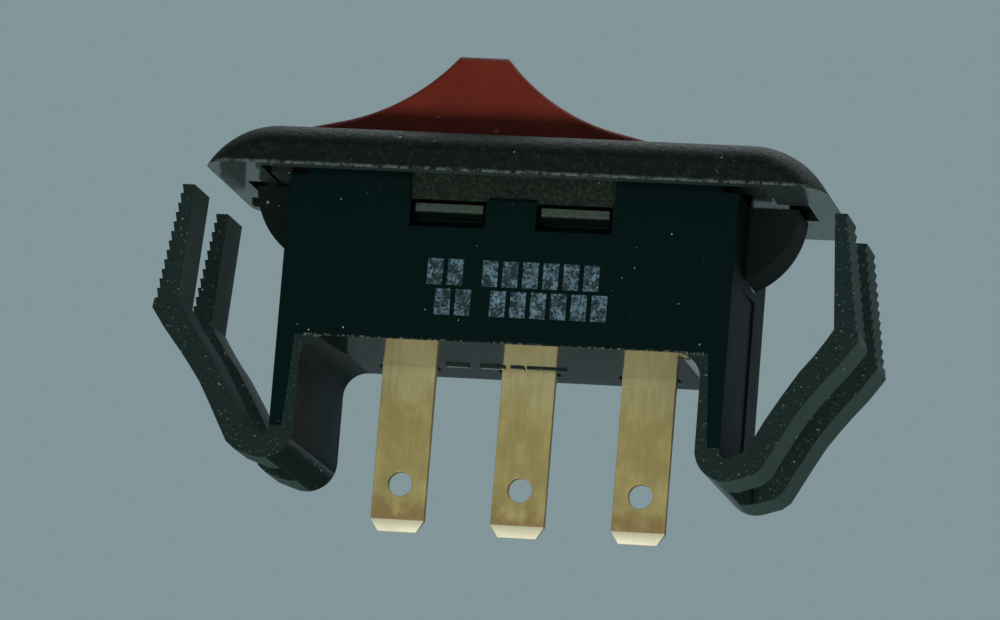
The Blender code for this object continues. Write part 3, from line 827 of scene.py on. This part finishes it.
outer = flank(0, 36, flank_slopes)
wing_x, wing_z = outer[-1]
wing_end_z = wing_z + (rocker_reach - wing_x) * math.tan(math.radians(flank_slopes[1]))
half = arc((0, pivot[1]), hub_radius, -84, -12, 18)
half += [(7.0, 1.2), (rocker_reach - 0.15, wing_end_z - 0.65), (rocker_reach, wing_end_z - 0.15),
         (rocker_reach - 0.1, wing_end_z - 0.02)]
half += list(reversed(outer))
rocker = outlined("rocker_button", about_pivot(half), -rocker_half_y, rocker_half_y)
bevel_rims(rocker, rocker_half_y, 0.28, 5)
inner = [(6.3, -6)] + list(reversed(flank(cheek, 24, hollow_slopes)))
inner_y = rocker_half_y - cheek
combine(rocker, outlined("rocker_hollow", about_pivot(inner), -inner_y, inner_y), "DIFFERENCE")
stem = round_bar("stem", (pivot[0], 0, stem_z), (pivot[0], 0, ridge_z - cheek), stem_radius)
combine(rocker, stem, "UNION")
bore = round_bar("bore", (pivot[0], 0, stem_z - 1.0), (pivot[0], 0, bore_top_z), bore_radius)
combine(rocker, bore, "DIFFERENCE")
for side in (-1, 1):
    trunnion = round_bar("trunnion", (pivot[0], side * 3.4, pivot[1]),
                         (pivot[0], side * trunnion_y, pivot[1]), trunnion_radius)
    combine(rocker, trunnion, "UNION")
finish(rocker, red, "rocker_red", "rocker", "rocker")

# ---------------------------------------------------------------------------------------
# Bezel
# The black flange that covers the panel's cut-out: domed at its ends and along its edges,
# with a fine spark-grained finish. Rails under it carry the rocker and snap into the box.
# ---------------------------------------------------------------------------------------
flange_half_x = 16.0
flange_half_y = 7.1
flange_top = 2.3
end_dome = 3.9
rim_round = 1.3
side_dome = 2.1
# Half length, half width and depth of what is hollowed out underneath.
recess = (13.0, 6.3, 0.7)
ear_notch = (14.61, 2.0, 0.6)
rail_x = 9.5
rail_y = (3.9, 4.5)
rail_z = -3.0
opening_x = 10.05
opening_y = 4.0
skirt_x = (-12.85, -11.7)
skirt_z = (0.02, 0.9)
skirt_wall = 0.4
skirt_floor_z = 0.2
bearing_radius = 0.95
hook_x = (1.5, 5.0)
hook_y = (4.4, 5.3)
hook_z = (-2.42, -1.35)
hook_lip_z = -1.75

bezel_dark = (0.001, 0.0038, 0.0024)
bezel_light = (0.0075, 0.013, 0.009)
lip_dust_and_highlight = (0.11, 0.135, 0.115)
bezel_salt = (0.1, 0.125, 0.105)
bezel_dust = (0.32, 0.36, 0.33)
underside_painted_light = (0.02, 0.031, 0.028)
hook_dark = (0.008, 0.014, 0.01)
hook_light = (0.055, 0.075, 0.06)
hook_shadow = (0.0015, 0.004, 0.003)

bezel_black, tree, shader, coords = new_material("bezel_black", 0.55)
shader.inputs["Specular IOR Level"].default_value = 0.1
shader.inputs["Coat Roughness"].default_value = 0.08
shader.inputs["Coat IOR"].default_value = 1.8
grain = add_group(tree, grain_group, Scale=3600.0, Strength=0.75)
dust = add_group(tree, dust_group, Scale=1500.0, Amount=0.35)
salt = add_group(tree, dust_group, Scale=5200.0, Amount=0.7)
axes = split(tree, coords.outputs["Object"])
facing = split(tree, coords.outputs["Normal"])
depth = unsigned(tree, axes["Y"])
underside = under(tree, facing["Z"], -0.7)
# The bottom edge of the flange's lip is painted paler: partly dust, partly a painted highlight.
lip = times(tree, ramp(tree, axes["Z"], 0.22 * MM, 0.06 * MM),
            ramp(tree, depth, (flange_half_y - 0.5) * MM, (flange_half_y - 0.15) * MM),
            ramp(tree, grain.outputs["Height"], 0.35, 0.6))
low_salt = times(tree, salt.outputs["Mask"], ramp(tree, axes["Z"], 1.9 * MM, 0.6 * MM))
on_hook = times(tree, over(tree, depth, 4.8 * MM), under(tree, axes["Z"], -1.2 * MM))
hook_lit = ramp(tree, axes["Z"], (hook_lip_z - 0.1) * MM, (hook_lip_z + 0.03) * MM)
tone = blend_colour(tree, ramp(tree, grain.outputs["Height"], 0.5, 0.72), bezel_dark, bezel_light)
tone = blend_colour(tree, times(tree, lip, 0.6), tone, lip_dust_and_highlight)
tone = blend_colour(tree, low_salt, tone, bezel_salt)
tone = blend_colour(tree, dust.outputs["Mask"], tone, bezel_dust)
# Faces that look down are painted a lighter grey: painted light, standing in for the light from below.
tone = blend_colour(tree, underside, tone, underside_painted_light)
hook_face = blend_colour(tree, grain.outputs["Height"], hook_dark, hook_light)
hook_tone = blend_colour(tree, hook_lit, hook_shadow, hook_face)
tone = blend_colour(tree, on_hook, tone, hook_tone)
tree.links.new(tone, shader.inputs["Base Color"])
bezel_gloss = math_node(tree, "ADD", times(tree, grain.outputs["Height"], 0.4), 0.38)
bezel_gloss = math_node(tree, "SUBTRACT", bezel_gloss, times(tree, underside, 0.34))
tree.links.new(bezel_gloss, shader.inputs["Roughness"])
tree.links.new(times(tree, underside, 0.6), shader.inputs["Coat Weight"])
roughened = math_node(tree, "SUBTRACT", 0.9, times(tree, underside, 0.85))
tree.links.new(add_bump(tree, grain.outputs["Height"], roughened, 0.08 * MM), shader.inputs["Normal"])


def part_off(piece, place, normal):
    """Keeps the side of a plane that the normal points away from, and closes the cut."""
    select_only(piece)
    bpy.ops.object.mode_set(mode="EDIT")
    bpy.ops.mesh.select_all(action="SELECT")
    bpy.ops.mesh.bisect(plane_co=[value * MM for value in place], plane_no=normal,
                        use_fill=True, clear_outer=True, threshold=merge_gap)
    bpy.ops.object.mode_set(mode="OBJECT")


def hollow(name, half_x, half_y, top_z):
    """A block centred on the flange, which cuts it from below up to top_z."""
    return block(name, (-half_x, half_x), (-half_y, half_y), (-1, top_z))


dome_radius = (end_dome ** 2 + flange_top ** 2) / (2 * flange_top)
dome_x = flange_half_x - end_dome
profile = [(dome_x + dome_radius, -4.0)]
profile += arc((dome_x, flange_top - dome_radius), dome_radius, 0, 90, 44)
bezel = outlined("bezel_flange", mirrored(profile), -flange_half_y, flange_half_y)
bevel_rims(bezel, flange_half_y, rim_round, 12)
# The rims' round is stretched inwards, which makes the long edges a flatter dome.
for vertex in bezel.data.vertices:
    inwards = flange_half_y * MM - abs(vertex.co.y)
    vertex.co.y = math.copysign(flange_half_y * MM - inwards * side_dome / rim_round, vertex.co.y)
part_off(bezel, (0, 0, 0), (0, 0, -1))
combine(bezel, hollow("recess", *recess), "DIFFERENCE")
combine(bezel, hollow("ear_notch", *ear_notch), "DIFFERENCE")
for side in (-1, 1):
    rail = block("rail", (-rail_x, rail_x), sorted((side * rail_y[0], side * rail_y[1])), (rail_z, 1.5))
    combine(bezel, rail, "UNION")
opening = block("opening", (pivot[0] - opening_x, pivot[0] + opening_x), (-opening_y, opening_y), (-6, 6))
combine(bezel, opening, "DIFFERENCE")
# A low wall closes the slot between the opening's left end and the box.
skirt = block("skirt", skirt_x, (-opening_y - skirt_wall, opening_y + skirt_wall), skirt_z)
swing_room = block("swing_room", (skirt_x[0] + skirt_wall, skirt_x[1] + 0.7), (-opening_y, opening_y),
                   (skirt_floor_z, 2))
combine(skirt, swing_room, "DIFFERENCE")
combine(bezel, skirt, "UNION")
bearing = round_bar("bearing", (pivot[0], -4.6, pivot[1]), (pivot[0], 4.6, pivot[1]), bearing_radius)
combine(bezel, bearing, "DIFFERENCE")
soften(bezel, 0.09, 2, 40)
for side in (-1, 1):
    for end in (-1, 1):
        hook = block("hook", sorted(end * x for x in hook_x), sorted(side * y for y in hook_y), hook_z)
        # The lower outer edge is lifted, as a lead-in slope for snapping into a window.
        for vertex in hook.data.vertices:
            if abs(vertex.co.y) > (hook_y[1] - 0.1) * MM and vertex.co.z < (hook_z[0] + 0.1) * MM:
                vertex.co.z = hook_lip_z * MM
        soften(hook, 0.06, 2, 20)
        combine(bezel, hook, "UNION")
finish(bezel, bezel_black, "bezel_black", "base", "bezel")

# ---------------------------------------------------------------------------------------
# Rating print and moulding marks
# Two rows of pale blue pad print on the front wall, reduced to plain worn bars, and a few
# short raised bars under the floor, where the mould was marked.
# ---------------------------------------------------------------------------------------
bar_pitch = 1.04
bar_width = 0.8
bar_height = 1.34
word_gap = 0.75
# Each row of print: its left end, its height, and how many bars each word has.
print_rows = ((-4.05, -4.9, (2, 6)), (-3.55, -6.44, (2, 6)))
print_y = (-5.615, -5.58)
mark_spans = ((-4.1, -2.9), (-2.3, -1.0), (-0.7, 0.0), (0.15, 2.2))
mark_y = (1.2, 1.75)
mark_z = (-8.57, -8.45)

ink, tree, shader, coords = new_material("ink_blue", 0.5)
wear = noise(tree, coords.outputs["Object"], 7000.0, 5.0, 0.7)
strokes = times(tree, noise(tree, coords.outputs["Object"], 2200.0, 2.0), 0.5)
cover = ramp(tree, math_node(tree, "ADD", wear, strokes), 0.65, 0.97)
ink_tone = blend_colour(tree, cover, (0.004, 0.011, 0.012), (0.09, 0.16, 0.205))
tree.links.new(ink_tone, shader.inputs["Base Color"])
ink_gloss = math_node(tree, "ADD", times(tree, cover, 0.35), 0.25)
tree.links.new(ink_gloss, shader.inputs["Roughness"])


def join_bars(bars, name):
    """Makes one piece of all the bars."""
    deselect()
    for bar in bars:
        bar.select_set(True)
    bpy.context.view_layer.objects.active = bars[0]
    bpy.ops.object.join()
    bars[0].name = name
    return bars[0]


bars = []
for word_x, row_z, words in print_rows:
    for count in words:
        for place in range(count):
            low_x = word_x + place * bar_pitch
            bars.append(block("bar", (low_x, low_x + bar_width), print_y,
                              (row_z - bar_height / 2, row_z + bar_height / 2)))
        word_x += count * bar_pitch + word_gap
printing = join_bars(bars, "rating_bars")
soften(printing, 0.012, 1, 40)
dress(printing, ink)
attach(printing, "base")

marks = join_bars([block("mark", span, mark_y, mark_z) for span in mark_spans], "mould_marks")
soften(marks, 0.03, 2, 40)
dress(marks, housing_black)
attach(marks, "base")
